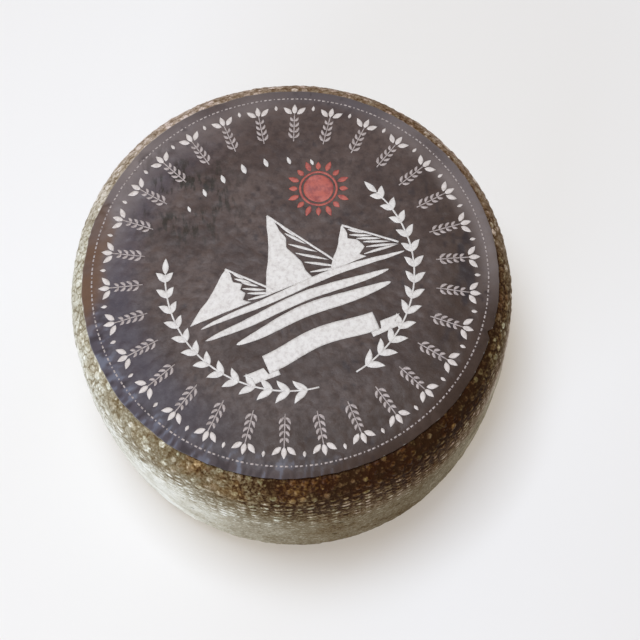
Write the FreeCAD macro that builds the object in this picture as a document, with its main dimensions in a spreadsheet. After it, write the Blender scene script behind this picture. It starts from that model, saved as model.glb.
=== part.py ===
import FreeCAD, Part
import math
import os
import Sketcher

from FreeCAD import Vector

# A whole wheel of aged goat cheese: one solid wheel that was pressed in a round mould, so its
# foot and shoulder are rounded and its side bulges a little, with a round paper label pasted
# on its top face. Millimetres, +Z up; the origin is the centre of the face it rests on.

# Driving dimensions, kept in the spreadsheet under these names.
SIZES = {
    "wheel_diameter": 250.0,  # across the belly, the widest turn of the side
    "wheel_height": 116.0,  # from the face it rests on to the middle of the top
    "belly_height": 42.0,  # height of the widest turn
    "side_sweep": 450.0,  # radius of the side's shallow bulge
    "foot_shoulder": 14.0,  # radius between the resting face and the side
    "top_shoulder": 20.0,  # radius between the side and the top
    "crown_sweep": 3300.0,  # radius of the top's very shallow dome
    "label_margin": 14.0,  # bare rind between the label's edge and the belly's outline
    "label_shift_x": 1.0,  # how far the label was pasted off the middle
    "label_shift_y": -1.0,
    "paper_thickness": 0.3,
}

doc = FreeCAD.newDocument("goat_cheese")


def make_sheet():
    """The spreadsheet that holds every driving dimension under its alias."""
    sheet = doc.addObject("Spreadsheet::Sheet", "Sizes")
    for row, (name, value) in enumerate(SIZES.items(), start=1):
        sheet.set(f"A{row}", name)
        sheet.set(f"B{row}", str(value))
        sheet.setAlias(f"B{row}", name)
    doc.recompute()
    return sheet


def where_circles_cross(centre_a, radius_a, centre_b, radius_b):
    """The outer of the two points that lie radius_a from centre_a and radius_b from centre_b."""
    across = centre_b - centre_a
    gap = across.Length
    along = (radius_a**2 - radius_b**2 + gap**2) / (2 * gap)
    aside = math.sqrt(radius_a**2 - along**2)
    unit = across / gap
    foot = centre_a + unit * along
    turned = Vector(-unit.y, unit.x, 0)
    return max((foot + turned * aside, foot - turned * aside), key=lambda point: point.x)


def arc_between(centre, radius, start, end):
    """The arc about centre that runs counter-clockwise from the direction of start to that of end."""
    angles = [math.atan2((p - centre).y, (p - centre).x) for p in (start, end)]
    return Part.ArcOfCircle(Part.Circle(centre, Vector(0, 0, 1), radius), *angles)


def beyond(origin, towards, distance):
    """The point that lies distance from origin, in the direction of towards."""
    return origin + (towards - origin).normalize() * distance


def draw_half_section(sketch, sheet):
    """Half of the wheel's section: five curves, each tangent to the next, closed by the axis."""
    foot, shoulder = sheet.foot_shoulder, sheet.top_shoulder
    side, crown = sheet.side_sweep, sheet.crown_sweep

    # Centres of the four arcs, found from the sizes, so that the solver starts at its answer.
    side_centre = Vector(sheet.wheel_diameter / 2 - side, sheet.belly_height, 0)
    crown_centre = Vector(0, sheet.wheel_height - crown, 0)
    foot_reach = math.sqrt((side - foot) ** 2 - (sheet.belly_height - foot) ** 2)
    foot_centre = Vector(side_centre.x + foot_reach, foot, 0)
    shoulder_centre = where_circles_cross(
        side_centre, side - shoulder, crown_centre, crown - shoulder
    )

    # Ends of the curves, from the middle of the foot to the middle of the top.
    middle_of_foot = Vector(0, 0, 0)
    rim_of_foot = Vector(foot_centre.x, 0, 0)
    foot_to_side = beyond(side_centre, foot_centre, side)
    side_to_shoulder = beyond(side_centre, shoulder_centre, side)
    shoulder_to_crown = beyond(crown_centre, shoulder_centre, crown)
    middle_of_top = Vector(0, sheet.wheel_height, 0)

    base = sketch.addGeometry(Part.LineSegment(middle_of_foot, rim_of_foot))
    heel = sketch.addGeometry(arc_between(foot_centre, foot, rim_of_foot, foot_to_side))
    wall = sketch.addGeometry(arc_between(side_centre, side, foot_to_side, side_to_shoulder))
    brow = sketch.addGeometry(
        arc_between(shoulder_centre, shoulder, side_to_shoulder, shoulder_to_crown)
    )
    top = sketch.addGeometry(arc_between(crown_centre, crown, shoulder_to_crown, middle_of_top))
    axis = sketch.addGeometry(Part.LineSegment(middle_of_top, middle_of_foot))

    start, end, centre = 1, 2, 3
    origin, vertical = (-1, 1), -2
    add = sketch.addConstraint
    add(Sketcher.Constraint("Coincident", base, start, *origin))
    add(Sketcher.Constraint("Horizontal", base))
    for before, after in ((base, heel), (heel, wall), (wall, brow), (brow, top)):
        add(Sketcher.Constraint("Tangent", before, end, after, start))
    add(Sketcher.Constraint("Coincident", top, end, axis, start))
    add(Sketcher.Constraint("Coincident", axis, end, *origin))
    add(Sketcher.Constraint("Vertical", axis))
    add(Sketcher.Constraint("PointOnObject", top, centre, vertical))

    bound = (
        (("Radius", heel), foot, "Sizes.foot_shoulder"),
        (("Radius", wall), side, "Sizes.side_sweep"),
        (("Radius", brow), shoulder, "Sizes.top_shoulder"),
        (("Radius", top), crown, "Sizes.crown_sweep"),
        (
            ("DistanceX", wall, centre, *origin),
            -side_centre.x,
            "Sizes.side_sweep - Sizes.wheel_diameter / 2",
        ),
        (("DistanceY", *origin, wall, centre), side_centre.y, "Sizes.belly_height"),
        (("DistanceY", *origin, top, end), sheet.wheel_height, "Sizes.wheel_height"),
    )
    for what, value, expression in bound:
        number = add(Sketcher.Constraint(*what, value))
        sketch.setExpression(f"Constraints[{number}]", expression)


def make_wheel(sheet):
    """The cheese itself, turned from its half section."""
    body = doc.addObject("PartDesign::Body", "cheese_wheel")
    sketch = body.newObject("Sketcher::SketchObject", "half_section")
    upright = next(f for f in body.Origin.OriginFeatures if f.Role == "XZ_Plane")
    sketch.AttachmentSupport = [(upright, "")]
    sketch.MapMode = "FlatFace"
    draw_half_section(sketch, sheet)
    doc.recompute()
    turned = body.newObject("PartDesign::Revolution", "turned_wheel")
    turned.Profile = sketch
    turned.ReferenceAxis = (sketch, ["V_Axis"])
    turned.Angle = 360.0
    body.Tip = turned
    doc.recompute()
    return body


def make_label(wheel):
    """The paper label: a disc cut out of a skin of paper's thickness that lies on the wheel."""
    skin = doc.addObject("Part::Offset", "wheel_in_paper")
    skin.Source = wheel
    skin.setExpression("Value", "Sizes.paper_thickness")
    skin.Mode = "Skin"
    skin.Join = "Arc"

    disc = doc.addObject("Part::Cylinder", "label_outline")
    disc.setExpression("Radius", "Sizes.wheel_diameter / 2 - Sizes.label_margin")
    disc.setExpression("Height", "Sizes.top_shoulder + 2 * Sizes.paper_thickness")
    disc.setExpression("Placement.Base.x", "Sizes.label_shift_x")
    disc.setExpression("Placement.Base.y", "Sizes.label_shift_y")
    disc.setExpression("Placement.Base.z", "Sizes.wheel_height - Sizes.top_shoulder")

    cap = doc.addObject("Part::Common", "papered_top")
    cap.Base = skin
    cap.Tool = disc

    label = doc.addObject("Part::Cut", "paper_label")
    label.Base = cap
    label.Tool = wheel
    doc.recompute()
    return label


def check_and_write(parts):
    """Stops on any failed object or unsound solid, then writes one STEP file for each part."""
    for item in doc.Objects:
        if {"Invalid", "Error"} & set(item.State):
            raise SystemExit(f"{item.Name} failed to recompute: {item.State}")
    for part in parts:
        shape = part.Shape
        if shape.isNull() or not shape.isValid() or len(shape.Solids) != 1:
            raise SystemExit(f"{part.Label} isn't one sound solid")
    os.makedirs("parts", exist_ok=True)
    for part in parts:
        part.Shape.exportStep(f"parts/{part.Label}.step")
        print(f"{part.Label}: {part.Shape.Volume / 1000:.2f} cm3, {part.Shape.BoundBox}")


sheet = make_sheet()
cheese_wheel = make_wheel(sheet)
paper_label = make_label(cheese_wheel)
check_and_write((cheese_wheel, paper_label))
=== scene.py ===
import bmesh
import bpy
import numpy as np
from mathutils import Matrix, Vector


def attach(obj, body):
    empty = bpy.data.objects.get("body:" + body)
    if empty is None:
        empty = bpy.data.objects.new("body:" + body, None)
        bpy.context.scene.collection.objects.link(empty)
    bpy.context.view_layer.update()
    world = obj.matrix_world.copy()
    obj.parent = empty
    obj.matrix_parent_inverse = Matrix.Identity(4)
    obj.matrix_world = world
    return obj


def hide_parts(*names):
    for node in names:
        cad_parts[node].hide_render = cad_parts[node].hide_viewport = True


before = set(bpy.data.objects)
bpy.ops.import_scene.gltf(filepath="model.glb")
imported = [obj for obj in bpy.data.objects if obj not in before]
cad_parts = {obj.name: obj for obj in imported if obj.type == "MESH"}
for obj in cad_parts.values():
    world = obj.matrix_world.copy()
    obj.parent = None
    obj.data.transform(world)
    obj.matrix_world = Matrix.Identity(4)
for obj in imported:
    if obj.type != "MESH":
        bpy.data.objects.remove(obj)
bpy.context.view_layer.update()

# ---------------------------------------------------------------------------
# The rind. Curd was pressed in a round mould pierced all over, so the wheel is turned about one axis,
# and the curd that filled the holes stands on it as nubs in rows. It has dried to a dusty bloom, and
# oil has soaked its shoulder. One skin in four rings, since a single mesh would be too heavy.
# ---------------------------------------------------------------------------
MM = 0.001
BELLY_RADIUS, BELLY_HEIGHT, WHEEL_HEIGHT = 125.0, 42.0, 116.0
SIDE_SWEEP, CROWN_SWEEP = 450.0, 3300.0  # radii of the side's bulge and of the top's dome
FOOT_SHOULDER, TOP_SHOULDER = 14.0, 20.0
OUT_OF_ROUND = 0.015  # the oval it dried to, as a share of its radius
COLUMNS, SHOULDER_PITCH, SIDE_PITCH = 130, 5.2, 4.6  # nubs round the wheel, and from row to row
PIT_SPACING = 17.0
LABEL_CENTRE, LABEL_RADIUS = (0.56, -0.34), 111.0  # the rind is pressed down under the label
STEPS_ROUND = 1100  # points of each ring round the wheel, 0.7 mm apart
TABLE = 256  # random values each way before a noise repeats


def on_circle(radius, turn):
    """Flat points at a radius from the middle and an angle round it."""
    return np.stack([radius * np.cos(turn), radius * np.sin(turn)], -1)


def half_section():
    """Half of the wheel's outline, from the middle of its top to the middle of its foot: the distance
    run along it, the radius, the height and the angle the surface faces. Four arcs, each tangent to
    the next, then the flat foot. The shoulder's centre is where two circles cross, about the centres
    of the side and the crown, each less by the shoulder's radius."""
    side_centre = np.array([BELLY_RADIUS - SIDE_SWEEP, BELLY_HEIGHT])
    crown_centre = np.array([0.0, WHEEL_HEIGHT - CROWN_SWEEP])
    reach = np.sqrt((SIDE_SWEEP - FOOT_SHOULDER) ** 2 - (BELLY_HEIGHT - FOOT_SHOULDER) ** 2)
    foot_centre = np.array([side_centre[0] + reach, FOOT_SHOULDER])
    near, far = SIDE_SWEEP - TOP_SHOULDER, CROWN_SWEEP - TOP_SHOULDER
    across = crown_centre - side_centre
    gap = np.hypot(*across)
    along = (near**2 - far**2 + gap**2) / (2 * gap)
    aside = np.sqrt(near**2 - along**2)
    unit = across / gap
    shoulder_centre = side_centre + unit * along + np.array([-unit[1], unit[0]]) * aside

    facing = lambda start, end: np.arctan2(*(end - start)[::-1])
    crown_edge = facing(crown_centre, shoulder_centre)
    shoulder_end = facing(side_centre, shoulder_centre)
    side_end = facing(side_centre, foot_centre)
    arcs = (
        (crown_centre, CROWN_SWEEP, np.linspace(np.pi / 2, crown_edge, 60)),
        (shoulder_centre, TOP_SHOULDER, np.linspace(crown_edge, shoulder_end, 120)),
        (side_centre, SIDE_SWEEP, np.linspace(shoulder_end, side_end, 120)),
        (foot_centre, FOOT_SHOULDER, np.linspace(side_end, -np.pi / 2, 90)),
    )
    foot = np.stack([np.linspace(foot_centre[0], 0, 60), np.zeros(60)], 1)
    outline = np.concatenate([centre + on_circle(radius, turn) for centre, radius, turn in arcs] + [foot])
    angle = np.concatenate([turn for _, _, turn in arcs] + [np.full(len(foot), -np.pi / 2)])
    run = np.concatenate([[0], np.cumsum(np.hypot(*np.diff(outline, axis=0).T))])
    return run, outline[:, 0], outline[:, 1], angle


SECTION_RUN, SECTION_RADIUS, SECTION_HEIGHT, SECTION_FACING = half_section()
WHOLE_RUN = SECTION_RUN[-1]


def noise(across, down, seed, wrap=0):
    """A smooth random field between -1 and 1: random values at whole numbers, joined by S-curves.
    After wrap cells the first direction starts again, so that it closes round the wheel."""
    table = np.random.default_rng(seed).uniform(-1, 1, (TABLE, TABLE))
    i, j = np.floor(across).astype(int), np.floor(down).astype(int)
    f, g = across - i, down - j
    f, g = f * f * (3 - 2 * f), g * g * (3 - 2 * g)
    at = lambda a, b: table[(a % wrap if wrap else a) % TABLE, b % TABLE]
    left = at(i, j) * (1 - g) + at(i, j + 1) * g
    right = at(i + 1, j) * (1 - g) + at(i + 1, j + 1) * g
    return left * (1 - f) + right * f


def ease(low, high, value):
    """0 below low, 1 above high, and an S-curve between them."""
    t = np.clip((value - low) / (high - low), 0, 1)
    return t * t * (3 - 2 * t)


def away_from(place, near, far, turn):
    """0 within near degrees of a place round the wheel, 1 beyond far degrees, an S-curve between. The
    places are in degrees from +X, so the front is at -90."""
    return ease(near, far, np.abs((np.degrees(turn) - place + 180) % 360 - 180))


def out_of_round(turn):
    """How much wider the wheel is at each angle: an oval and two slow waves, as shares of its radius."""
    oval = -OUT_OF_ROUND * np.cos(2 * turn)
    return 1 + oval + 0.003 * np.sin(3 * turn + 0.6) + 0.002 * np.sin(5 * turn + 2.1)


def sag(x, y, height):
    """The slow unevenness of the top in millimetres: two noises, 60 and 28 mm from wave to wave, full
    at the top and gone halfway down the side."""
    waves = 0.75 * noise(x / 60 + 9, y / 60 + 9, 3) + 0.3 * noise(x / 28 + 9, y / 28 + 9, 4)
    return waves * ease(60, WHEEL_HEIGHT, height)


def on_wheel(turn, run, lift):
    """Points of the wheel in metres, at angle turn and distance run along the section from the middle
    of the top, lifted off the turned form by lift millimetres, square to it."""
    radius = np.interp(run, SECTION_RUN, SECTION_RADIUS)
    height = np.interp(run, SECTION_RUN, SECTION_HEIGHT)
    facing = np.interp(run, SECTION_RUN, SECTION_FACING)
    radius = (radius + lift * np.cos(facing)) * out_of_round(turn)
    height = height + lift * np.sin(facing)
    x, y = radius * np.cos(turn), radius * np.sin(turn)
    height = height + sag(x, y, height)
    return np.stack([x, y, np.maximum(height, 0)], -1) * MM


def nubs(across, down, pitch, seed, wrap, size, jitter, missing, stagger):
    """Domes on a lattice of cells, pitch millimetres across and down: each has a radius of about size
    millimetres and a height of its own, and a centre moved at random by up to half of jitter. Every
    second row is moved on by stagger, and a share of missing domes is left out. Of the nine nearest the
    highest counts. Gives its height, 0 to 1, and a random tone that is one value all over that dome."""
    rng = np.random.default_rng(seed)
    shift_a, shift_d, grow, rise, tone, there = rng.random((6, TABLE, TABLE))
    row = np.floor(down).astype(int)
    height, colour = np.zeros(np.shape(across)), np.full(np.shape(across), 0.5)
    for step_d in (-1, 0, 1):
        j = row + step_d
        offset = stagger * (j % 2)
        column = np.floor(across - offset).astype(int)
        for step_a in (-1, 0, 1):
            i = column + step_a
            key = ((i % wrap if wrap else i) % TABLE, j % TABLE)
            centre_a = i + offset + 0.5 + jitter * (shift_a[key] - 0.5)
            centre_d = j + 0.5 + jitter * (shift_d[key] - 0.5)
            radius = size * (0.78 + 0.44 * grow[key])
            aside, below = (across - centre_a) * pitch[0], (down - centre_d) * pitch[1]
            far = np.hypot(aside, below) / radius
            dome = np.clip(1 - far**2, 0, 1) ** 0.7 * (0.75 + 0.25 * rise[key])
            dome = dome * (there[key] > missing)
            higher = dome > height
            height = np.where(higher, dome, height)
            colour = np.where(higher, tone[key], colour)
    return height, colour


def paleness(turn, run):
    """How pale the rind has dried, from 0 where oil has soaked it to 1 where it is dusty. The shoulder
    is darkest at the front right, and darkened again at the back right; the side is darkest at the
    front. Down the side the shoulder's value turns into the side's, slowest at the front, where the oil
    ran down furthest. Two noises, of 20 and 7 mm, make it patchy."""
    rim = 0.80 * away_from(-50, 4, 124, turn) - 0.32 * (1 - away_from(66, 8, 66, turn))
    side = 0.55 + 0.40 * away_from(-75, 5, 55, turn) - 0.07 * (1 - away_from(-38, 5, 50, turn))
    dry = away_from(-65, 22, 50, turn)
    start, end = 121 - 6 * dry, 164 - 12 * dry - 16 * away_from(-65, 60, 110, turn)
    down = np.clip((run - start) / (end - start), 0, 1) ** 0.75
    around = turn / (2 * np.pi)
    patchy = 0.05 * noise(around * 40, run / 16, 31, 40) + 0.06 * noise(around * 110, run / 7, 32, 110)
    return np.clip(rim + (side - rim) * down + patchy, 0, 1)


def rind_relief(turn, run):
    """The rind's relief in millimetres off the turned form: nubs on a ground with noises of 11, 4, 2
    and 1.6 mm. The nubs are crowded and uneven in staggered rows on the shoulder, stacked in columns
    and worn low towards the foot on the side, and lie in a net underneath. With it come the masks that
    the colours follow:
    nub       how far a nub stands up            tone      one random value all over each nub
    cast      another one, for its hue           pale      from oiled to dusty
    contrast  how strongly small marks show      craze     where the bloom is finely cracked
    amber     oil, round the front shoulder      rosy      the rind's pinker parts, back and right
    pit       small dents low on the side"""
    radius = np.interp(run, SECTION_RUN, SECTION_RADIUS)
    around = turn / (2 * np.pi)
    pitch = 2 * np.pi * np.maximum(radius, 60) / COLUMNS
    x, y = radius * np.cos(turn), radius * np.sin(turn)
    pale = paleness(turn, run)

    # The nubs of each part of the wheel. The mould's columns stand a little crooked.
    bent = noise(around * 34, run / 14, 16, 34)
    column = around * COLUMNS + 0.12 * bent
    big, big_tone = nubs(column, run / SHOULDER_PITCH, (pitch, SHOULDER_PITCH), seed=11, wrap=COLUMNS,
                         size=1.62 + 0.75 * pale, jitter=0.42, missing=0.08, stagger=0.5)
    small, small_tone = nubs(column * 2, run / 2.4, (pitch / 2, 2.4), seed=17, wrap=2 * COLUMNS,
                             size=1.0, jitter=0.9, missing=0.35, stagger=0.5)
    rib, rib_tone = nubs(column, run / SIDE_PITCH, (pitch * 0.5, SIDE_PITCH), seed=12, wrap=COLUMNS,
                         size=1.05 + 0.25 * pale, jitter=0.2, missing=0.04, stagger=0.0)
    gap_rib, _ = nubs(column + 0.5, run / SIDE_PITCH + 0.5, (pitch, SIDE_PITCH), seed=13, wrap=COLUMNS,
                      size=1.35, jitter=0.3, missing=0.15, stagger=0.0)
    net, net_tone = nubs(x / 5.9 + 30, y / 4.1 + 60, (5.9, 4.1), seed=14, wrap=0,
                         size=1.9, jitter=0.3, missing=0.04, stagger=0.5)
    pits, _ = nubs(around * 44, run / PIT_SPACING, (PIT_SPACING, PIT_SPACING), seed=15, wrap=44,
                   size=1.2, jitter=0.9, missing=0.6, stagger=0.5)
    pits = pits * ease(140, 160, run)

    # Which part a point is on, and the nub that stands there.
    on_shoulder = 1 - ease(122, 128, run + 1.6 * bent)
    underneath = ease(WHOLE_RUN - 121, WHOLE_RUN - 114, run)
    worn = 1 - 0.8 * ease(150, 174, run)
    crowd = np.maximum(big, 0.55 * small)
    crowd_tone = np.where(big > 0.55 * small, big_tone, small_tone)
    ribs = np.maximum(rib, 0.3 * gap_rib) * worn
    nub = (crowd * on_shoulder + ribs * (1 - on_shoulder)) * (1 - underneath) + 0.5 * net * underneath
    side_tone = np.where(underneath > 0.5, net_tone, 0.4 + 0.65 * rib_tone)
    tone = np.where(on_shoulder > 0.5, crowd_tone, side_tone)

    # The ground under them; the relief is lower on the shoulder at the back.
    slow = noise(around * 70, run / 11, 21, 70)
    middling = noise(around * 190, run / 4, 22, 190)
    crumb = noise(around * 380, run / 2, 24, 190)
    fine = noise(around * 480, run / 1.6, 23, 240)
    low = 1 - 0.45 * ease(0.2, 0.9, np.sin(turn)) * on_shoulder
    lift = (nub * (0.85 - 0.5 * pale) + 0.26 * slow + 0.18 * middling) * low
    lift = lift - 0.6 + 0.12 * crumb + 0.09 * fine - 0.7 * pits

    # Pressed down where the label covers it, and flat where the wheel rests.
    inside = LABEL_RADIUS - np.hypot(x - LABEL_CENTRE[0], y - LABEL_CENTRE[1])
    covered = ease(0.4, 1.6, inside) * (run < 150)
    lift = lift * (1 - covered) - 0.9 * covered
    lift = lift * (1 - ease(WHOLE_RUN - 118, WHOLE_RUN - 112, run)) - 0.25 * (1 - net) * underneath

    bead = ease(0.1 - 0.08 * pale, 0.55 - 0.25 * pale, nub / worn)
    # The side's ground between its nubs is taken darker still: partly grime held in the gaps, partly painted
    # shade.
    bead = (bead - 0.18 * (1 - on_shoulder) * (1 - bead)) * worn
    amber = (0.1 + 0.65 * (1 - away_from(-90, 30, 110, turn))) * (1 - 0.8 * ease(0.3, 0.65, pale))
    rosy_back = ease(-0.2, 0.8, np.cos(turn - 1.3)) * (1 - 0.85 * ease(126, 146, run))
    rosy_right = ease(0.3, 0.9, np.cos(turn + 0.4)) * ease(122, 132, run) * (1 - ease(152, 168, run))
    return lift, {
        "nub": bead,
        "tone": tone,
        "pale": pale,
        "pit": pits,
        "cast": (7 * tone) % 1,
        "amber": amber * (1 - 0.8 * ease(120, 130, run)),
        "contrast": (0.6 + 0.55 * ease(0.05, 0.35, pale)) * (1 - 0.92 * pale),
        "craze": ease(0.35, 0.8, pale) * (1 - ease(134, 158, run)) * (1 - underneath),
        "rosy": np.maximum(rosy_back, 0.6 * rosy_right),
    }


def grid_mesh(name, points, masks, top_pole=None, end_pole=None, bake_strips=0):
    """A mesh from a grid of points that closes round the wheel: one row for each turn, one column for
    each angle. A pole closes the first or the last row with a fan. Its own flat map for the bake is
    either bake_strips strips, one above another, or with 0 the disc the rows make, laid flat."""
    rows, columns = points.shape[:2]
    index = np.arange(rows * columns).reshape(rows, columns)
    right = np.roll(index, -1, axis=1)
    quads = np.stack([index[:-1], index[1:], right[1:], right[:-1]], -1).reshape(-1, 4)
    flat = points.reshape(-1, 3)
    fans = []
    for pole, ring, order in ((top_pole, 0, (0, 1, 2)), (end_pole, rows - 1, (0, 2, 1))):
        if pole is not None:
            fan = np.stack([np.full(columns, len(flat)), index[ring], right[ring]], -1)[:, order]
            flat = np.concatenate([flat, np.reshape(pole, (1, 3))])
            fans += fan.tolist()
    mesh = bpy.data.meshes.new(name)
    mesh.from_pydata(flat, [], quads.tolist() + fans)
    mesh.polygons.foreach_set("use_smooth", np.ones(len(mesh.polygons), bool))
    poles = len(flat) - rows * columns
    for mask, values in masks.items():
        layer = mesh.attributes.new(mask, "FLOAT", "POINT")
        values = np.concatenate([values.reshape(-1), np.full(poles, values.mean())])
        layer.data.foreach_set("value", values.astype(np.float32))

    # The flat map, with a margin left about each strip.
    if bake_strips:
        corner = np.tile(np.array([[0, 0], [1, 0], [1, 1], [0, 1]]), (len(quads), 1))
        cell_row, cell_column = np.divmod(np.repeat(np.arange(len(quads)), 4), columns)
        strip_at = cell_column * bake_strips // columns
        u = (cell_column + corner[:, 1]) * bake_strips / columns - strip_at
        v = (strip_at + 0.02 + 0.96 * (cell_row + corner[:, 0]) / (rows - 1)) / bake_strips
        uv = np.stack([0.004 + 0.992 * u, v], 1)
    else:
        reach = np.linspace(0.03, 0.5, rows)[:, None] * np.ones(columns)
        turn = np.linspace(0, 2 * np.pi, columns, endpoint=False)
        laid_flat = 0.5 + on_circle(reach, turn).reshape(-1, 2)
        laid_flat = np.concatenate([laid_flat, np.full((poles, 2), 0.5)])
        loops = np.empty(len(mesh.loops), int)
        mesh.loops.foreach_get("vertex_index", loops)
        uv = laid_flat[loops]
    mesh.uv_layers.new(name="OFBake").data.foreach_set("uv", uv.astype(np.float32).reshape(-1))
    made = bpy.data.objects.new(name, mesh)
    bpy.context.scene.collection.objects.link(made)
    return made


def tint(code):
    """A colour written as an sRGB hex code, turned into the linear colour that nodes take."""
    share = np.array([int(code[k:k + 2], 16) for k in (1, 3, 5)]) / 255
    linear = np.where(share <= 0.04045, share / 12.92, ((share + 0.055) / 1.055) ** 2.4)
    return (*linear.tolist(), 1.0)


def add(tree, kind, inputs=None, **settings):
    """Adds a node, gives it its settings and fills its sockets: a node or a socket is linked, a hex code
    is set as its colour, and any other value is set as it is."""
    node = tree.nodes.new(kind)
    for name, value in settings.items():
        setattr(node, name, value)
    for socket, value in (inputs or {}).items():
        if isinstance(value, bpy.types.Node):
            tree.links.new(value.outputs[0], node.inputs[socket])
        elif isinstance(value, bpy.types.NodeSocket):
            tree.links.new(value, node.inputs[socket])
        else:
            node.inputs[socket].default_value = tint(value) if isinstance(value, str) else value
    return node


def rind_finish():
    """Dried, rubbed cheese rind. Its colour runs from wet brown in the oiled parts, and dark brown in the
    crevices, partly the rind's own and partly painted shade, over olive and tan, to a dusty bloom, as a
    ramp over how pale each spot is. Dull, with a low sheen on oiled nubs."""
    material = bpy.data.materials.new("dried_rubbed_rind")
    material.use_nodes = True
    tree = material.node_tree
    shader = tree.nodes["Principled BSDF"]
    where = add(tree, "ShaderNodeTexCoord").outputs["Object"]
    nub, tone, pale, pit, cast, amber, rosy, contrast, craze = (
        add(tree, "ShaderNodeAttribute", attribute_name=name).outputs["Fac"]
        for name in ("nub", "tone", "pale", "pit", "cast", "amber", "rosy", "contrast", "craze"))
    # Grit, clumps of it and patches of oil; the grit is drawn coarser than real, since finer wouldn't show.
    grit = add(tree, "ShaderNodeTexNoise", {"Vector": where, "Scale": 1 / (1.3 * MM), "Detail": 2.0,
                                            "Roughness": 0.6})
    clump = add(tree, "ShaderNodeTexNoise", {"Vector": where, "Scale": 1 / (3.2 * MM), "Detail": 2.0})
    patch = add(tree, "ShaderNodeTexNoise", {"Vector": where, "Scale": 1 / (13.0 * MM), "Detail": 2.0})
    crack = add(tree, "ShaderNodeTexVoronoi", {"Vector": where, "Scale": 1 / (3.7 * MM)},
                feature="DISTANCE_TO_EDGE")

    # How much lighter or darker a spot is than the rind about it: nubs, each with a tone of its own, grit
    # of about a millimetre and clumps of three, all of them fainter where the bloom covers them.
    own = add(tree, "ShaderNodeMath", {0: tone, 1: tone}, operation="MULTIPLY")
    own = add(tree, "ShaderNodeMath", {0: own, 1: 0.54, 2: 0.17}, operation="MULTIPLY_ADD")
    # The ground between the nubs comes out darker than the nubs: partly the rind's own colour, partly
    # painted shade in the crevices.
    uneven = add(tree, "ShaderNodeMath", {0: nub, 1: own, 2: -0.18}, operation="MULTIPLY_ADD")
    gritty = add(tree, "ShaderNodeMath", {0: grit, 1: 0.5}, operation="SUBTRACT")
    uneven = add(tree, "ShaderNodeMath", {0: gritty, 1: 1.5, 2: uneven}, operation="MULTIPLY_ADD")
    clumpy = add(tree, "ShaderNodeMath", {0: clump, 1: 0.5}, operation="SUBTRACT")
    uneven = add(tree, "ShaderNodeMath", {0: clumpy, 1: 0.7, 2: uneven}, operation="MULTIPLY_ADD")
    shade = add(tree, "ShaderNodeMath", {0: uneven, 1: contrast, 2: pale}, operation="MULTIPLY_ADD")
    # Fine broken crevices, which show most where the bloom is pale; their dark is partly the rind's own and
    # partly painted shade.
    crack = add(tree, "ShaderNodeMapRange", {0: crack, 1: 0.0, 2: 0.15, 3: 0.23, 4: 0.0},
                interpolation_type="SMOOTHSTEP")
    broken = add(tree, "ShaderNodeMapRange", {0: clump, 1: 0.60, 2: 0.42})
    crack = add(tree, "ShaderNodeMath", {0: crack, 1: broken}, operation="MULTIPLY")
    crack = add(tree, "ShaderNodeMath", {0: crack, 1: craze}, operation="MULTIPLY")
    shade = add(tree, "ShaderNodeMath", {0: shade, 1: crack}, operation="SUBTRACT")
    ramp = add(tree, "ShaderNodeValToRGB", {"Fac": shade})
    wet_to_dusty = ((0.0, "#2b1705"), (0.2, "#4c3820"), (0.35, "#655438"), (0.5, "#75684f"),
                    (0.62, "#877c64"), (0.75, "#a19881"), (0.88, "#c2bca8"), (1.0, "#dedacb"))
    for place, colour in wet_to_dusty[1:-1]:
        ramp.color_ramp.elements.new(place).color = tint(colour)
    ramp.color_ramp.elements[0].color = tint(wet_to_dusty[0][1])
    ramp.color_ramp.elements[len(wet_to_dusty) - 1].color = tint(wet_to_dusty[-1][1])

    # Oil gives the front an amber cast in patches, the back is a little pinker, each nub leans to pink or
    # to olive, and the small dents of the side are coloured near black.
    oiled = add(tree, "ShaderNodeMapRange", {0: patch, 1: 0.47, 2: 0.58})
    oiled = add(tree, "ShaderNodeMath", {0: oiled, 1: amber}, operation="MULTIPLY")
    lean = add(tree, "ShaderNodeMix", {0: cast, 6: "#ffc8b2", 7: "#efffc2"}, data_type="RGBA").outputs[2]
    much = add(tree, "ShaderNodeMapRange", {0: pale, 1: 0.75, 2: 0.2, 3: 0.0, 4: 0.4})
    much = add(tree, "ShaderNodeMath", {0: nub, 1: much}, operation="MULTIPLY", use_clamp=True)
    colour = ramp.outputs[0]
    for share, cast_colour in ((oiled, "#ffd99c"), (rosy, "#ffecf2"), (much, lean)):
        colour = add(tree, "ShaderNodeMix", {0: share, 6: colour, 7: cast_colour}, data_type="RGBA",
                     blend_type="MULTIPLY").outputs[2]
    darker_in_pits = add(tree, "ShaderNodeMath", {0: pit, 1: 0.8}, operation="MULTIPLY")
    colour = add(tree, "ShaderNodeMix", {0: darker_in_pits, 6: colour, 7: "#2a2018"}, data_type="RGBA")
    tree.links.new(colour.outputs[2], shader.inputs["Base Color"])

    oily_nub = add(tree, "ShaderNodeMath", {0: oiled, 1: nub}, operation="MULTIPLY")
    rough = add(tree, "ShaderNodeMapRange", {0: oily_nub, 1: 0.0, 2: 0.6, 3: 0.85, 4: 0.42})
    tree.links.new(rough.outputs[0], shader.inputs["Roughness"])
    shader.inputs["IOR"].default_value = 1.45
    shader.inputs["Specular IOR Level"].default_value = 0.1
    bumps = add(tree, "ShaderNodeMath", {0: grit, 1: clump}, operation="ADD")
    bump = add(tree, "ShaderNodeBump", {"Height": bumps, "Strength": 0.7, "Distance": 0.6 * MM})
    tree.links.new(bump.outputs[0], shader.inputs["Normal"])
    return material


def rind_ring(name, runs, bake_strips=0, **poles):
    """One ring of the rind: every angle by every distance along the section, put through the relief."""
    turn, run = np.meshgrid(np.linspace(0, 2 * np.pi, STEPS_ROUND, endpoint=False), runs)
    lift, masks = rind_relief(turn, run)
    ring = grid_mesh(name, on_wheel(turn, run, lift), masks, bake_strips=bake_strips, **poles)
    ring.data.materials.append(RIND)
    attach(ring, "root")
    return ring


RIND = rind_finish()
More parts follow.
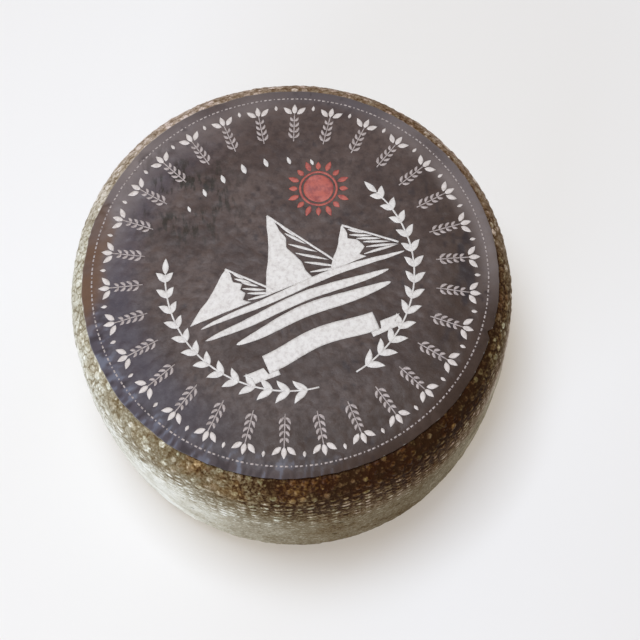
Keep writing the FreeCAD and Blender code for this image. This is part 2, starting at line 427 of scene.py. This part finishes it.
# Where one ring ends and the next begins, as distances run from the middle of the top.
SHOULDER_END, SIDE_MIDDLE, FOOT_START, FOOT_FLAT = 141, 178, WHOLE_RUN - 125, WHOLE_RUN - 96
under_label, from_label = np.linspace(8, 104, 10), np.linspace(106, SHOULDER_END, 68)
round_foot = np.linspace(FOOT_START, FOOT_FLAT, 30)
flat_foot = np.linspace(FOOT_FLAT + 1.5, WHOLE_RUN - 6, 50)
shoulder = rind_ring("rind_shoulder", np.concatenate([under_label, from_label]),
                     top_pole=on_wheel(0.0, 0.0, -0.9))
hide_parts("cheese_wheel")
rind_ring("rind_side_upper", np.linspace(SHOULDER_END, SIDE_MIDDLE, 74), bake_strips=5)
rind_ring("rind_side_lower", np.linspace(SIDE_MIDDLE, FOOT_START, 60), bake_strips=5)
rind_ring("rind_foot", np.concatenate([round_foot, flat_foot]), end_pole=on_wheel(0.0, WHOLE_RUN, 0.0))

# ---------------------------------------------------------------------------
# The label. A disc of dark printed paper, pasted on while the rind was damp, so that it has taken
# up the nubs as soft bumps. It hangs a little over the shoulder, is crinkled where it was pulled,
# and has one small tear in its right edge.
# ---------------------------------------------------------------------------
PAPER_LIFT, PAPER_THICKNESS = 0.45, 0.5


def label_height(x, y):
    """Height of the paper in millimetres over the plan point x, y: the wheel's top, the nubs pressed
    through it, noises of 9 and 3 mm, and crinkles that run in from the edge at the front left and at
    the right: the folds where two noises, drawn out towards the middle, pass through nought."""
    turn = np.arctan2(y, x)
    radius = np.hypot(x, y) / out_of_round(turn)
    on_top = SECTION_RUN < 135
    height = np.interp(radius, SECTION_RADIUS[on_top], SECTION_HEIGHT[on_top])
    height = height + sag(x, y, height)
    bumps, _ = nubs(x / 6.4 + 40, y / 5.8 + 40, (6.4, 5.8), seed=41, wrap=0,
                    size=2.9, jitter=0.75, missing=0.22, stagger=0.5)
    waves, ripples = noise(x / 9 + 50, y / 9 + 50, 42), noise(x / 3 + 90, y / 3 + 90, 43)
    press = 0.24 * bumps + 0.22 * waves + 0.07 * ripples
    front_left, at_right = ease(0.1, 0.95, np.cos(turn + 2.5)), ease(0.6, 0.95, np.cos(turn))
    pulled = ease(94, 108, radius) * np.maximum(front_left, 0.7 * at_right)
    broad, narrow = noise(turn * 26 + 80, radius / 9, 44), noise(turn * 60 + 200, radius / 5, 45)
    crease = np.abs(broad) + 0.5 * np.abs(narrow)
    return height + PAPER_LIFT + press + 0.5 * pulled * (0.45 - crease)


def paper_marks(turn, reach, x, y):
    """The marks on the paper, each 0 to 1: products of S-curves over the angle round the label and the
    reach from its middle in millimetres, broken up by noises:
    oil      a stain at the left edge             cut      bare fibre along the cut edge
    border   painted cool sheen on the rim        sheen    the rim where it turns over, back left and right
    scuff    rubbed at the back left              crinkle  painted glints on bright ridges, front left
    damp     painted shade, browner, front right  plum     cooler towards the left
    dent     painted shade in hollows, in furrows beside the ridges, and in creases at the right"""
    around = turn / (2 * np.pi)
    slow = noise(around * 26, reach / 9, 58, 26)
    streak = noise(around * 400 + 0.12 * reach, reach / 5, 60, 400)
    pulled = ease(98, 104, reach) * ease(0.35, 0.95, np.cos(turn + 2.4))

    oil_edge = reach + 2 * noise(x / 12 + 60, y / 12 + 60, 54)
    oil_side = np.cos(turn - 3.02) + 0.03 * noise(x / 9 + 60, y / 9 + 60, 53)
    frays = ease(0.7, 0.9, noise(around * 420, 0 * turn, 57, 420))
    bare = np.maximum(ease(0.1, 0.9, np.cos(turn - 2.9)), frays)
    sheen_left = ease(84, 106, reach) * ease(0.6, 0.98, np.cos(turn - 2.35))
    sheen_right = ease(93, 105, reach) * ease(0.74, 0.98, np.cos(turn - 0.42))
    rubbed = 1 - ease(12, 44, np.hypot(x + 52, y - 46))
    hollows = ease(0.35, 0.9, noise(x / 2.4 + 90, y / 2.4 + 90, 55))
    in_places = ease(0.0, 0.6, noise(x / 14 + 90, y / 14 + 90, 56))
    band = ease(86, 90, reach) * (1 - ease(97, 100, reach))
    creases = band * ease(0.7, 0.95, np.cos(turn - 0.05)) * ease(0.1, 0.6, noise(x / 4 + 90, y / 7 + 90, 62))
    furrows = pulled * ease(0.15, 0.7, -streak)
    return {
        "oil": ease(0.93, 1.0, oil_side) * ease(96, 102, oil_edge),
        "cut": ease(110.6, 111.0, reach) * (0.6 + 0.4 * noise(around * 120, 0 * turn, 59, 120)) * bare,
        # A painted cool sheen on the rim, all round but the front right.
        "border": ease(97, 107, reach) * (1 - ease(0.3, 0.95, np.cos(turn + 0.8))) * (0.6 + 0.4 * slow),
        "sheen": (0.5 + 0.4 * slow) * np.maximum(sheen_left, sheen_right),
        "scuff": rubbed * ease(-0.3, 0.4, noise(x / 11 + 70, y / 11 + 70, 61)),
        # A painted glint: blue grey on the bright ridges of the crinkles at the front left.
        "painted_ridge_glint": 0.5 * pulled * ease(0.15, 0.7, streak),
        # Painted shade: dark brown over the front right of the label, strongest near its edge.
        "painted_front_right_shade": (0.3 + 0.33 * ease(74, 90, reach)) * ease(-0.7, 0.5, np.cos(turn + 1.05)),
        "plum": 0.55 * ease(72, 92, reach) * ease(0.1, 0.9, np.cos(turn + 3.1)),
        # Painted shade: near black in small hollows, in the furrows beside the glinting ridges, and in the
        # creases at the right.
        "painted_hollow_shade": np.maximum(0.6 * hollows * in_places + 0.8 * creases, 0.6 * furrows),
    }


def paper_finish():
    """Uncoated dark paper, printed all over in plum brown and oiled by the cheese: satin, with a cool
    sheen at a low angle that is partly painted on the rim, painted glints and painted shade where it is
    crinkled and pressed, browner where oil has soaked in, and pale along its cut edge."""
    material = bpy.data.materials.new("oiled_printed_paper")
    material.use_nodes = True
    tree = material.node_tree
    shader = tree.nodes["Principled BSDF"]
    where = add(tree, "ShaderNodeTexCoord").outputs["Object"]
    oil, cut, border, painted_hollow_shade, painted_front_right_shade, plum, sheen, painted_ridge_glint, scuff = (
        add(tree, "ShaderNodeAttribute", attribute_name=name).outputs["Fac"]
        for name in ("oil", "cut", "border", "painted_hollow_shade", "painted_front_right_shade", "plum", "sheen", "painted_ridge_glint", "scuff"))
    # Slow clouds, mottles and fibres; the fibres are drawn wider than real ones, or they wouldn't show.
    clouds = add(tree, "ShaderNodeTexNoise", {"Vector": where, "Scale": 1 / (30 * MM), "Detail": 4.0,
                                              "Roughness": 0.6})
    mottle = add(tree, "ShaderNodeTexNoise", {"Vector": where, "Scale": 1 / (5 * MM), "Detail": 5.0,
                                              "Roughness": 0.7})
    fibres = add(tree, "ShaderNodeTexNoise", {"Vector": where, "Scale": 1 / (1.4 * MM), "Detail": 5.0,
                                              "Roughness": 0.65})
    # Hairs of raised fibre where it was rubbed, three times as long as they are wide, and coarser than real.
    drawn = add(tree, "ShaderNodeMapping", {"Vector": where, "Rotation": (0, 0, 0.35),
                                            "Scale": (1, 0.32, 1)})
    hairs = add(tree, "ShaderNodeTexNoise", {"Vector": drawn, "Scale": 1 / (2.6 * MM), "Detail": 3.0,
                                             "Roughness": 0.6})
    hairs = add(tree, "ShaderNodeMapRange", {0: hairs, 1: 0.46, 2: 0.62}, interpolation_type="SMOOTHSTEP")
    scuffed = add(tree, "ShaderNodeMath", {0: hairs, 1: scuff}, operation="MULTIPLY")

    # Plum brown in slow clouds, darker in mottles; then each mark pulls it towards a colour of its own. Of
    # these, the cool grey on the rim and the lighter grey at the back left and right are painted sheen, the
    # blue grey on the crinkles' ridges is a painted glint, and the dark brown at the front right and the
    # near black of hollows, furrows and creases are painted shade.
    share = add(tree, "ShaderNodeMapRange", {0: clouds, 1: 0.35, 2: 0.65}, interpolation_type="SMOOTHSTEP")
    colour = add(tree, "ShaderNodeMix", {0: share, 6: "#493b35", 7: "#584942"}, data_type="RGBA")
    darker = add(tree, "ShaderNodeMapRange", {0: mottle, 1: 0.42, 2: 0.66, 3: 0.0, 4: 0.6},
                 interpolation_type="SMOOTHSTEP")
    for share, pull in (
        (darker, "#372c28"), (painted_front_right_shade, "#37291f"), (border, "#5a5150"), (plum, "#46414a"),
        (sheen, "#7d7069"), (scuffed, "#322b24"), (painted_ridge_glint, "#73757f"), (painted_hollow_shade, "#2f2726"),
        (oil, "#624a3a"), (cut, "#a8a096"),
    ):
        colour = add(tree, "ShaderNodeMix", {0: share, 6: colour.outputs[2], 7: pull}, data_type="RGBA")
    tree.links.new(colour.outputs[2], shader.inputs["Base Color"])
    gloss = add(tree, "ShaderNodeMapRange", {0: mottle, 1: 0.3, 2: 0.7, 3: 0.34, 4: 0.50})
    tree.links.new(gloss.outputs[0], shader.inputs["Roughness"])
    shader.inputs["IOR"].default_value = 1.5
    shader.inputs["Specular IOR Level"].default_value = 0.12
    bump = add(tree, "ShaderNodeBump", {"Height": fibres, "Strength": 0.35, "Distance": 0.4 * MM})
    tree.links.new(bump.outputs[0], shader.inputs["Normal"])
    return material


def label_paper():
    """A closed sheet: rings from the middle of the top out to the cut edge, then down the cut and
    back in underneath, each ring laid on the label's height. The last rings are moved in and out to
    fray the edge, and notched where it is torn."""
    reach = np.concatenate([np.linspace(3, 110.0, 104), [110.65, LABEL_RADIUS, LABEL_RADIUS, 108, 60, 10]])
    drop = np.concatenate([np.zeros(106), np.array([0.48, 1, 1, 1]) * PAPER_THICKNESS])
    turn, reach_at = np.meshgrid(np.linspace(0, 2 * np.pi, 840, endpoint=False), reach)
    around = turn / (2 * np.pi)
    frayed = 0.16 * noise(around * 230, 0 * turn, 51, 230) + 0.3 * noise(around * 40, 0 * turn, 52, 40)
    tear_at, tear_depth = -0.36, 2.2
    beside_tear = np.abs((turn - tear_at + np.pi) % (2 * np.pi) - np.pi)
    torn = -tear_depth * (1 - ease(0.0, 0.03, beside_tear))
    ragged = reach_at + (1.3 * frayed + torn) * ease(107.5, 110.5, reach_at)
    x = LABEL_CENTRE[0] + ragged * np.cos(turn)
    y = LABEL_CENTRE[1] + ragged * np.sin(turn)
    height = label_height(x, y) - drop[:, None]
    centre = np.array([*LABEL_CENTRE, label_height(*LABEL_CENTRE)])
    sheet = grid_mesh("label_paper", np.stack([x, y, height], -1) * MM, paper_marks(turn, reach_at, x, y),
                      top_pole=centre * MM, end_pole=(centre - [0, 0, PAPER_THICKNESS]) * MM)
    sheet.data.materials.append(paper_finish())
    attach(sheet, "root")
    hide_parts("paper_label")


label_paper()

# ---------------------------------------------------------------------------
# The label's print. A plain country design in off-white and cream ink, with a red sun: snowy peaks
# over hay fields, a blank ribbon and two branches, in a ring of leafy sprigs and a beaded border.
# Thin films of ink that lie on the paper and follow its bumps. The label was pasted on askew.
# ---------------------------------------------------------------------------
PASTED_ASKEW = np.radians(20.0)
SPRIGS, SPRIG_RADIUS = 30, 80.0
BORDER_MARKS, BORDER_RADIUS = 264, 105.4
BRANCH_RADIUS, BRANCH_END = 66.0, 112  # millimetres, and degrees round from the foot of the picture
SUN_CENTRE, SUN_RAYS = np.array([33.0, 39.0]), 16
INK_LIFT, INK_THICKNESS = 0.15, 0.08


def strip(path, half_width, across=4):
    """A strip that follows a path: each point of it moved aside, square to the path, by the half
    width there, from one edge to the other."""
    path = np.asarray(path, float)
    along = np.gradient(path, axis=0)
    aside = np.stack([-along[:, 1], along[:, 0]], 1) / np.hypot(*along.T)[:, None]
    share = np.linspace(-1, 1, across)[None, :, None]
    wide = np.broadcast_to(half_width, len(path))[:, None, None]
    return path[:, None] + share * wide * aside[:, None]


def between(first, second, across):
    """The patch ruled from one curve to another, point by point."""
    share = np.linspace(0, 1, across)[None, :, None]
    return first[:, None] * (1 - share) + second[:, None] * share


def leaf(root, heading, length, half_width, bend=0.12, steps=8, across=4):
    """A leaf: a strip along a bent midrib, as wide as a sine that is fullest a little past halfway."""
    t = np.linspace(0, 1, steps)
    angle = np.radians(heading) + bend * (t - 0.3) * 2
    step = on_circle(1, angle) * length / (steps - 1)
    midrib = np.asarray(root) + np.concatenate([[[0, 0]], np.cumsum(step, axis=0)[:-1]])
    return strip(midrib, half_width * np.sin(np.pi * t**0.85) + 0.001, across)


def spun(patch, angle):
    """A patch turned about the label's middle."""
    c, s = np.cos(angle), np.sin(angle)
    return patch @ np.array([[c, s], [-s, c]])


def ink_film(name, patches, ink):
    """Joins patches into one thin film on the paper: plan points turned with the label, heights from
    the paper's own, a hair above it."""
    points, faces, start = [], [], 0
    for patch in patches:
        rows, columns = patch.shape[:2]
        index = start + np.arange(rows * columns).reshape(rows, columns)
        quads = np.stack([index[:-1, :-1], index[1:, :-1], index[1:, 1:], index[:-1, 1:]], -1)
        edge_a, edge_b = patch[1:, :-1] - patch[:-1, :-1], patch[:-1, 1:] - patch[:-1, :-1]
        upward = (edge_a[..., 0] * edge_b[..., 1] - edge_a[..., 1] * edge_b[..., 0]).sum() > 0
        faces.append(quads.reshape(-1, 4)[:, :: 1 if upward else -1])
        points.append(patch.reshape(-1, 2))
        start += rows * columns
    flat = spun(np.concatenate(points), PASTED_ASKEW) + LABEL_CENTRE
    height = label_height(flat[:, 0], flat[:, 1]) + INK_LIFT
    mesh = bpy.data.meshes.new(name)
    mesh.from_pydata(np.concatenate([flat, height[:, None]], 1) * MM, [], np.concatenate(faces).tolist())
    shape = bmesh.new()
    shape.from_mesh(mesh)
    bmesh.ops.remove_doubles(shape, verts=shape.verts, dist=0.02 * MM)
    shape.to_mesh(mesh)
    shape.free()
    mesh.polygons.foreach_set("use_smooth", np.ones(len(mesh.polygons), bool))
    mesh.materials.append(ink)
    film = bpy.data.objects.new(name, mesh)
    bpy.context.scene.collection.objects.link(film)
    body = film.modifiers.new("ink_thickness", "SOLIDIFY")
    body.thickness, body.offset = INK_THICKNESS * MM, -1
    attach(film, "root")


def ink_finish(name, full, worn, mottle_mm):
    """Flat printing ink with a satin face, a little thin and uneven where the paper is rough."""
    material = bpy.data.materials.new(name)
    material.use_nodes = True
    tree = material.node_tree
    shader = tree.nodes["Principled BSDF"]
    where = add(tree, "ShaderNodeTexCoord").outputs["Object"]
    mottle = add(tree, "ShaderNodeTexNoise", {"Vector": where, "Scale": 1 / (mottle_mm * MM),
                                              "Detail": 5.0, "Roughness": 0.65})
    share = add(tree, "ShaderNodeMapRange", {0: mottle, 1: 0.42, 2: 0.68}, interpolation_type="SMOOTHSTEP")
    colour = add(tree, "ShaderNodeMix", {0: share, 6: full, 7: worn}, data_type="RGBA")
    tree.links.new(colour.outputs[2], shader.inputs["Base Color"])
    shader.inputs["Roughness"].default_value = 0.5
    shader.inputs["IOR"].default_value = 1.5
    shader.inputs["Specular IOR Level"].default_value = 0.28
    bump = add(tree, "ShaderNodeBump", {"Height": mottle, "Strength": 0.2, "Distance": 0.3 * MM})
    tree.links.new(bump.outputs[0], shader.inputs["Normal"])
    return material


def mountain(peak, foot_left, foot_right, spine_lean, seed):
    """A snowy peak: its lit side is one field from the left ridge to a jagged spine, and its shaded
    side is drawn by six strokes that fall to the right, and by the line of its right ridge."""
    rng = np.random.default_rng(seed)
    fall = np.linspace(0, 1, 40)
    height = peak[1] + (foot_left[1] - peak[1]) * fall
    left = peak[0] + (foot_left[0] - peak[0]) * fall**1.12 + 0.7 * noise(fall * 7, fall * 0, seed)
    zigzag = rng.uniform(-1, 1, 9) * np.array([0, 1, -1, 1, -1, 1, -1, 1, 0])
    spine = peak[0] + spine_lean * fall + 3.4 * fall**0.4 * np.interp(fall, np.linspace(0, 1, 9), zigzag)
    left[0] = spine[0] = peak[0]
    spine = np.maximum(spine, left)
    made = [between(np.stack([left, height], 1), np.stack([spine, height], 1), 22)]
    for k, share in enumerate(np.linspace(0.16, 0.92, 6)):
        start = np.array([np.interp(share, fall, spine) + 1.2, peak[1] + (foot_left[1] - peak[1]) * share])
        end = min(0.9 + 0.02 * k, share + 0.24)
        edge = peak[0] + (foot_right[0] - peak[0]) * end
        low = peak[1] + (foot_left[1] - peak[1]) * end
        t = np.linspace(0, 1, 10)[:, None]
        path = start * (1 - t) + np.array([edge - 0.6, low]) * t
        made.append(strip(path, 0.75 * np.sin(np.pi * (0.08 + 0.9 * t[:, 0])), 3))
    ridge = np.stack([np.linspace(peak[0], foot_right[0], 24), np.linspace(peak[1], foot_right[1], 24)], 1)
    made.append(strip(ridge, 0.55, 3))
    return made


def hay_fields():
    """Three long fields, each a bowed and waved strip that thins out to both ends: its half length, its
    height in the picture and its half width."""
    made = []
    for k, (half, y, thick) in enumerate(((58, -12.5, 2.1), (52, -19.3, 2.8), (44, -27.0, 3.6))):
        t = np.linspace(-1, 1, 90)
        path = np.stack([half * t + 3 * (-1) ** k, y + 2.6 * (1 - t**2) + 0.7 * np.sin(5 * t + k)], 1)
        made.append(strip(path, thick * (1 - t**2) ** 0.55 + 0.001, 6))
    return made


def blank_ribbon():
    """A waved band, and a notched tail that comes from behind each end of it."""
    x = np.linspace(-31, 31, 56)
    made = [strip(np.stack([x, -41.6 + 1.7 * np.cos(x / 31 * np.pi)], 1), 5.2, 9)]
    for side in (-1, 1):
        out = np.linspace(26, 43, 16)
        low = np.stack([side * out, np.full(16, -51.2) + 0.04 * (out - 26)], 1)
        high = np.stack([side * out, np.where(out < 31.8, -48.4, -44.4)], 1)
        tail = between(low, high, 7)
        near_end = ease(36, 43, out)[:, None]
        notch = np.abs(np.linspace(-1, 1, 7))[None, :] * near_end
        tail[..., 0] += side * (notch * 4 - 3 * near_end)
        made.append(tail)
    return made


def branch(side):
    """A branch that rises from the foot of the picture round one side of it: a stem on a circle,
    thirteen pairs of leaves that grow smaller along it, and one leaf at its tip."""
    stem = np.radians(-90 + side * np.linspace(9, BRANCH_END, 40))
    made = [strip(on_circle(BRANCH_RADIUS, stem), 0.45, 3)]
    for k, at in enumerate(np.linspace(14, BRANCH_END - 4, 13)):
        turn = np.radians(-90 + side * at)
        root = on_circle(BRANCH_RADIUS, turn)
        ahead = np.degrees(turn) + side * 90
        size = 10.5 - 0.22 * k
        made.append(leaf(root, ahead + side * 34, size * 0.92, 1.75, 0.3 * side, 9, 5))
        made.append(leaf(root, ahead - side * 34, size, 1.85, -0.3 * side, 9, 5))
    turn = np.radians(-90 + side * BRANCH_END)
    made.append(leaf(on_circle(BRANCH_RADIUS, turn), np.degrees(turn) + side * 90, 9.5, 1.7, 0, 9, 5))
    return made


def seeds():
    """Seven seeds in an arc over the peaks, largest in the middle."""
    made = []
    for k in range(-3, 4):
        size = 3.4 - 0.45 * abs(k)
        root = on_circle(BRANCH_RADIUS, np.radians(90 + 11 * k)) - [0, size]
        made.append(leaf(root, 90, 2 * size, 0.42 * size, 0, 7, 4))
    return made


def country_scene():
    """The middle of the label, in plan millimetres before it is turned."""
    peaks = mountain((-31, 15), (-60, -8), (-12, -6), 6, 5)
    peaks += mountain((1, 35), (-17, -8), (26, -6), 9, 8)
    peaks += mountain((36, 14), (20, -8), (60, -7), 5, 11)
    return peaks + hay_fields() + blank_ribbon() + branch(-1) + branch(1) + seeds()


def sprig_ring():
    """The ring: each sprig a stem with four pairs of leaflets in thin ink, and outside it a flower of
    three petals in full ink, with a lozenge between it and the next. Gives the thin part and the full."""
    thin, full = [], []
    for k in range(SPRIGS):
        sprig = [strip([(0, SPRIG_RADIUS - 2 + 3 * i) for i in range(7)], 0.3, 2)]
        for i, at in enumerate((80.0, 83.6, 87.2, 90.8)):
            for side in (-1, 1):
                sprig.append(leaf((0.2 * side, at), 90 - side * 42, 4.8 - 0.45 * i, 0.8, 0.5 * side, 6, 3))
        flower = [leaf((0.03 * swing, 95.4), 90 - swing, 6.4, 1.45, 0.0, 7, 4) for swing in (-48, 0, 48)]
        lozenge = leaf((0, 97.8), 90, 3.4, 0.9, 0, 5, 3)
        thin += [spun(patch, 2 * np.pi * k / SPRIGS) for patch in sprig]
        full += [spun(petal, 2 * np.pi * k / SPRIGS) for petal in flower]
        full.append(spun(lozenge, 2 * np.pi * (k + 0.5) / SPRIGS))
    return thin, full


def beaded_border():
    """A border of short dashes, two and then a bead, all round near the cut edge: the half length of
    each in radians, and its half width."""
    made = []
    for k in range(BORDER_MARKS):
        half, wide = ((0.008, 0.42), (0.008, 0.42), (0.0034, 0.4))[k % 3]
        centre = 2 * np.pi * k / BORDER_MARKS
        made.append(strip(on_circle(BORDER_RADIUS, np.linspace(centre - half, centre + half, 3)), wide, 2))
    return made


def red_sun():
    """The sun: a disc ruled from its left half circle to its right one, a ring round it, and pointed
    rays, long and short by turns."""
    half_turn, turn = np.linspace(-np.pi / 2, np.pi / 2, 24), np.linspace(0, 2 * np.pi, 60)
    right = on_circle(8.2, half_turn)
    made = [SUN_CENTRE + between(right * [-1, 1], right, 12),
            SUN_CENTRE + between(on_circle(9.3, turn), on_circle(10.5, turn), 3)]
    for k in range(SUN_RAYS):
        heading = 360 / SUN_RAYS * k
        root = SUN_CENTRE + on_circle(11.2, np.radians(heading))
        made.append(leaf(root, heading, 5.0 if k % 2 else 6.6, 1.5, 0, 7, 4))
    return made


OFF_WHITE = ink_finish("off_white_printing_ink", "#cbc3b9", "#b8aea5", 2.2)
CREAM = ink_finish("cream_printing_ink", "#c6bab0", "#b4a79c", 1.8)
THIN_CREAM = ink_finish("thin_cream_ink", "#a89a92", "#887a73", 1.8)
RED = ink_finish("brick_red_printing_ink", "#a55446", "#85403a", 3.2)
ink_film("print_country_scene", country_scene(), OFF_WHITE)
sprigs, flowers = sprig_ring()
ink_film("print_sprigs", sprigs, THIN_CREAM)
ink_film("print_flowers", flowers, CREAM)
ink_film("print_border", beaded_border(), THIN_CREAM)
ink_film("print_sun", red_sun(), RED)

# ---------------------------------------------------------------------------
# Floor, light and camera. A matt white table in a room with daylight from its windows: the wheel
# stands on it alone, and is seen from above its front.
# ---------------------------------------------------------------------------


def studio():
    """A white table with a faint warm glow, which keeps the shadows soft. A cool skylight nearly
    overhead, a little to the left and behind, throws the shadow to the front right; a broad low window
    lights the side from the front left, a weak one fills the back right, and the room is evenly warm."""
    floor_mesh = bpy.data.meshes.new("floor")
    floor_mesh.from_pydata([(-6, -6, 0), (6, -6, 0), (6, 6, 0), (-6, 6, 0)], [], [(0, 1, 2, 3)])
    floor = bpy.data.objects.new("floor", floor_mesh)
    bpy.context.scene.collection.objects.link(floor)
    paint = bpy.data.materials.new("white_table")
    paint.use_nodes = True
    table = paint.node_tree.nodes["Principled BSDF"]
    table.inputs["Base Color"].default_value = tint("#c5c5c5")
    table.inputs["Roughness"].default_value = 0.8
    table.inputs["Emission Color"].default_value = tint("#ffebc8")
    table.inputs["Emission Strength"].default_value = 0.24
    floor_mesh.materials.append(paint)

    world = bpy.data.worlds.new("room")
    world.use_nodes = True
    room = world.node_tree.nodes["Background"]
    room.inputs["Color"].default_value = tint("#ffedd6")
    room.inputs["Strength"].default_value = 0.31
    bpy.context.scene.world = world

    for name, spot, size, power, colour in (
        ("skylight", (-0.15, 0.12, 1.30), 0.48, 15.0, "#e6f1ff"),
        ("low_window", (-0.80, -1.16, 0.45), 0.9, 19.0, "#d2e2ff"),
        ("back_window", (0.95, 1.05, 0.80), 0.9, 6.5, "#b4d0ff"),
    ):
        lamp = bpy.data.lights.new(name, "AREA")
        lamp.size = size
        lamp.energy = power
        lamp.color = tint(colour)[:3]
        holder = bpy.data.objects.new(name, lamp)
        bpy.context.scene.collection.objects.link(holder)
        holder.location = spot
        aim = Vector((0, 0, 0.05)) - holder.location
        holder.rotation_euler = aim.to_track_quat("-Z", "Y").to_euler()


def camera():
    """The eye looks down on the wheel's front at 69 degrees, turned 3 degrees about its line of sight."""
    eye = bpy.data.cameras.new("camera")
    eye.sensor_width = 36.0
    eye.lens = 71.791875
    eye.clip_start, eye.clip_end = 0.01, 50
    holder = bpy.data.objects.new("camera", eye)
    bpy.context.scene.collection.objects.link(holder)
    right, up = (0.9986073, -0.04936315, -0.01862119), (0.0527586, 0.93433877, 0.35245934)
    back = (0.0, -0.3529509, 0.93564184)
    turned = Matrix((right, up, back)).transposed().to_4x4()
    holder.matrix_world = Matrix.Translation((0.0153092, -0.2635643, 0.7392926)) @ turned
    bpy.context.scene.camera = holder


studio()
camera()
bpy.context.scene.view_settings.view_transform = "Standard"
